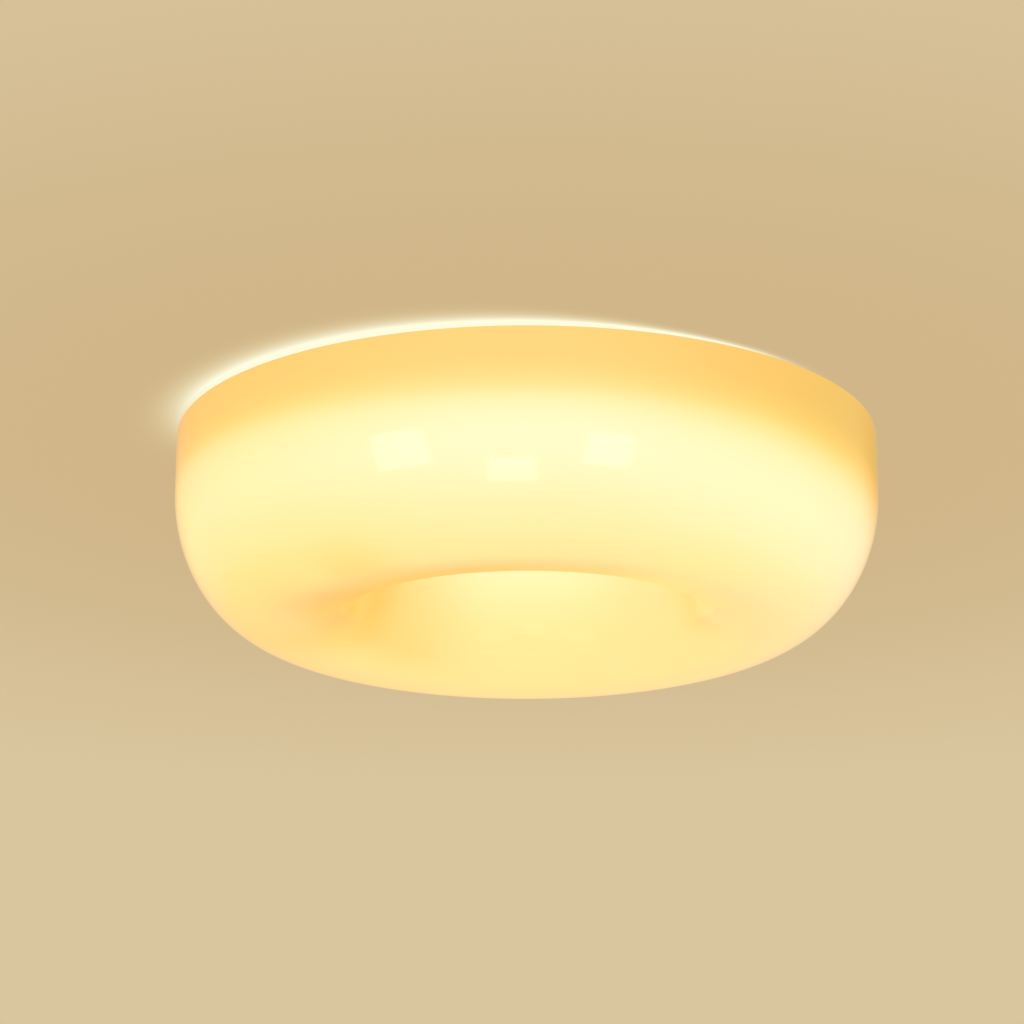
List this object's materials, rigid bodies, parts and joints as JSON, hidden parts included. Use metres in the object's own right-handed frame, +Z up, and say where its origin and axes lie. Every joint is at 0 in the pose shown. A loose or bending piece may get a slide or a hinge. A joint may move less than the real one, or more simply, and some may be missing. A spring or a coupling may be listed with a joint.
{
  "type": "flush mount ceiling light",
  "caption": "Flush ceiling lamp: glossy opal ring-shaped shade with a deep central dimple, held by a knob under a pressed steel pan with light boards, driver and lever terminal.",
  "frame": {"origin": "on the ceiling plane, at the lamp's axis, in the middle of the bracket's two slots", "axes": "+Z up into the ceiling along the lamp's axis, +X along the bracket's slots, +Y away from the driver"},
  "size_m": [0.4999, 0.5, 0.1443],
  "materials": {
    "opal_acrylic": "glossy opal acrylic, lit from inside",
    "white_powder_coat": "satin white powder coat on pressed steel",
    "zinc_steel": "bright zinc plate",
    "board_white": "white solder mask on aluminium",
    "led_phosphor": "yellow phosphor in silicone, lit",
    "connector_nylon": "moulded white nylon",
    "black_rubber": "matt moulded rubber",
    "driver_plastic": "fine spark-eroded white polycarbonate",
    "circuit_board": "green glass epoxy board",
    "transformer_tape": "yellow polyester tape on ferrite",
    "capacitor_can": "sleeved aluminium can",
    "terminal_grey": "moulded grey polyamide",
    "lever_orange": "moulded orange polyamide",
    "brass_contact": "turned and pressed brass",
    "clamp_nylon": "natural nylon",
    "lead_brown": "extruded PVC",
    "lead_blue": "extruded PVC",
    "lead_green_yellow": "extruded PVC, green and yellow",
    "lead_red": "extruded PVC",
    "lead_black": "extruded PVC",
    "knob_white": "moulded white acetal"
  },
  "bodies": {
    "housing": {"base_pan": "white_powder_coat", "ceiling_bracket": "zinc_steel", "stem": "zinc_steel", "stem_nuts": "zinc_steel", "pan_washer": "zinc_steel", "stem_sleeve": "zinc_steel", "seat_washer": "zinc_steel", "led_board_1": "board_white", "led_board_2": "board_white", "led_board_3": "board_white", "led_board_4": "board_white", "led_chips": "led_phosphor", "board_screws": "zinc_steel", "board_links": "connector_nylon", "led_plug": "connector_nylon", "pan_grommet": "black_rubber", "driver_base": "driver_plastic", "driver_cover": "driver_plastic", "driver_board": "circuit_board", "driver_transformer": "transformer_tape", "driver_capacitors": "capacitor_can", "driver_terminals": "connector_nylon", "driver_screws": "zinc_steel", "terminal_body": "terminal_grey", "terminal_contacts": "brass_contact", "terminal_screws": "zinc_steel", "clamp_base": "clamp_nylon", "clamp_bridge": "clamp_nylon", "clamp_screws": "zinc_steel", "earth_stud": "zinc_steel", "earth_washer": "zinc_steel", "earth_tag": "brass_contact", "earth_nut": "brass_contact", "lead_live": "lead_brown", "lead_neutral": "lead_blue", "lead_earth": "lead_green_yellow", "lead_plus": "lead_red", "lead_minus": "lead_black", "lead_clip": "clamp_nylon"},
    "shade": {"shade": "opal_acrylic", "shade_bush": "black_rubber"},
    "thrust_washer": {"knob_washer": "zinc_steel"},
    "knob": {"knob": "knob_white", "knob_insert": "brass_contact"},
    "lever_l": {"terminal_lever_l": "lever_orange"},
    "lever_n": {"terminal_lever_n": "lever_orange"},
    "lever_e": {"terminal_lever_e": "lever_orange"}
  },
  "joints": [
    {"name": "shade_lower", "type": "slide", "parent": "housing", "child": "shade", "axis": [0, 0, -1], "range_m": [0, 0.1]},
    {"name": "knob_run", "type": "slide", "parent": "shade", "child": "thrust_washer", "axis": [0, 0, -1], "range_m": [0, 0.013]},
    {"name": "knob_turn", "type": "hinge", "parent": "thrust_washer", "child": "knob", "pos_m": [0, 0, -0.072], "axis": [0, 0, -1], "range_deg": [0, 4680]},
    {"name": "lever_l_open", "type": "hinge", "parent": "housing", "child": "lever_l", "pos_m": [-0.0135, 0.074, -0.0242], "axis": [0, -1, 0], "range_deg": [0, 85]},
    {"name": "lever_n_open", "type": "hinge", "parent": "housing", "child": "lever_n", "pos_m": [-0.0135, 0.082, -0.0242], "axis": [0, -1, 0], "range_deg": [0, 85]},
    {"name": "lever_e_open", "type": "hinge", "parent": "housing", "child": "lever_e", "pos_m": [-0.0135, 0.09, -0.0242], "axis": [0, -1, 0], "range_deg": [0, 85]}
  ],
  "couplings": [
    {"joint": "knob_run", "follows": "knob_turn", "m_per_rad": 0.00015915}
  ]
}
